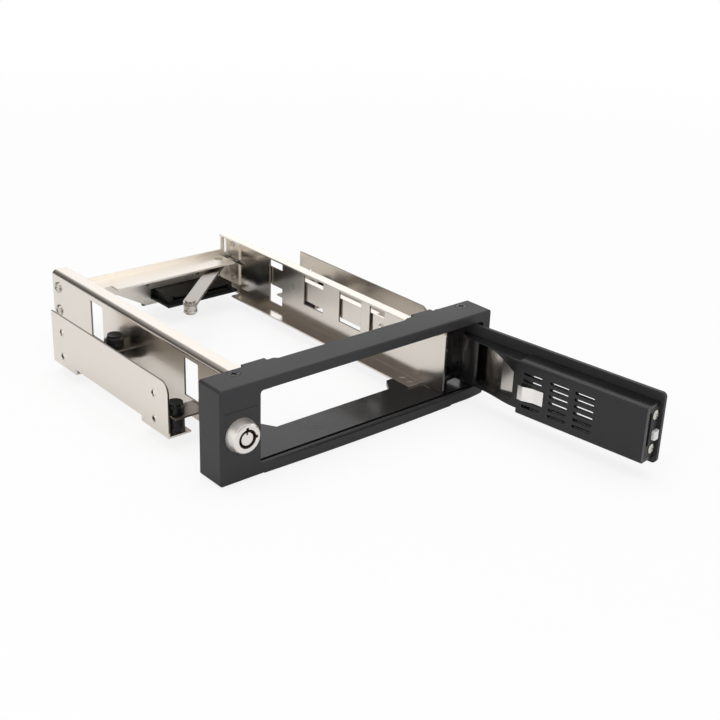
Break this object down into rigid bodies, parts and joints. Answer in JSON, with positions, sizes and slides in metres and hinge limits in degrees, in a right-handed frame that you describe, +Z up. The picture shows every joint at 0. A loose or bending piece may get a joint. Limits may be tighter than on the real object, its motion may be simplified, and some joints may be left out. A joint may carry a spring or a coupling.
{
  "type": "hot swap drive cage",
  "caption": "Open steel cage with a black bezel and hinged locking door that takes a bare drive in a wide computer bay and ejects it with a lever when the door opens.",
  "frame": {"origin": "on the bezel's lower edge, in the middle of the bay's width, in line with the back of the bezel's front wall", "axes": "+X to the right seen from the front, +Y back into the computer, +Z up"},
  "size_m": [0.1511, 0.2797, 0.042],
  "materials": {
    "satin_black": "satin",
    "gloss_black": "gloss",
    "nickel_sheet": "nickel plated, satin",
    "screw_steel": "plated",
    "black_screw": "black oxide",
    "spring_steel": "polished",
    "lock_chrome": "polished",
    "black_rubber": "satin",
    "connector_black": "satin",
    "board_green": "solder mask",
    "white_nylon": "satin"
  },
  "bodies": {
    "cage": {"bezel_shell": "satin_black", "inner_frame": "gloss_black", "bezel_screws": "black_screw", "rail_left": "nickel_sheet", "rail_right": "nickel_sheet", "foot_screws": "screw_steel", "rear_crossmember": "nickel_sheet", "crossmember_screws": "screw_steel", "bracket_left": "nickel_sheet", "bracket_right": "nickel_sheet", "rubber_mounts": "black_rubber", "mount_screws": "screw_steel", "hinge_pins": "screw_steel", "lock_barrel": "lock_chrome", "lock_nut": "screw_steel", "slider_rivets": "screw_steel", "lever_pivot": "screw_steel", "drive_receptacle": "connector_black", "backplane_board": "board_green", "board_spacers": "screw_steel", "board_screws": "screw_steel", "data_socket": "connector_black"},
    "door": {"door_panel": "gloss_black", "door_cover": "gloss_black", "door_band": "nickel_sheet", "crank_pin": "screw_steel", "catch_plate": "black_screw", "catch_screws": "screw_steel"},
    "catch": {"door_catch": "white_nylon"},
    "leaf": {"leaf_spring": "spring_steel"},
    "slider": {"eject_slider": "nickel_sheet"},
    "lever": {"eject_lever": "nickel_sheet", "roller_rivet": "screw_steel"},
    "roller": {"lever_roller": "screw_steel"},
    "key_plug": {"lock_plug": "lock_chrome", "lock_cam": "screw_steel", "lock_cam_screw": "screw_steel"}
  },
  "joints": [
    {"name": "door_hinge", "type": "hinge", "parent": "cage", "child": "door", "pos_m": [0.0546, 0.0071, 0.021], "axis": [0, 0, -1], "range_deg": [0, 96.5]},
    {"name": "eject_slide", "type": "slide", "parent": "cage", "child": "slider", "axis": [0, -1, 0], "range_m": [0, 0.00873]},
    {"name": "eject_lever", "type": "hinge", "parent": "cage", "child": "lever", "pos_m": [0.038, 0.1623, 0.0221], "axis": [0, 0, -1], "range_deg": [0, 36.7]},
    {"name": "lever_roller", "type": "hinge", "parent": "lever", "child": "roller", "pos_m": [-0.00458, 0.12396, 0.0193], "axis": [0, 0, 1], "continuous": true},
    {"name": "lock_turn", "type": "hinge", "parent": "cage", "child": "key_plug", "pos_m": [-0.0643, 0, 0.021], "axis": [0, 1, 0], "range_deg": [0, 90]},
    {"name": "catch_slide", "type": "slide", "parent": "door", "child": "catch", "axis": [-0.1132, 0.9936, 0], "range_m": [0, 0.0018], "stiffness_N_per_m": 200, "springref_m": -0.001},
    {"name": "leaf_flex", "type": "hinge", "parent": "door", "child": "leaf", "pos_m": [0.05885, -0.04566, 0.0193], "axis": [0, 0, -1], "range_deg": [0, 6], "stiffness_Nm_per_rad": 0.05}
  ],
  "couplings": [
    {"joint": "eject_slide", "follows": "door_hinge", "m_per_rad": 0.0051833},
    {"joint": "eject_lever", "follows": "door_hinge", "ratio": 0.38031}
  ]
}
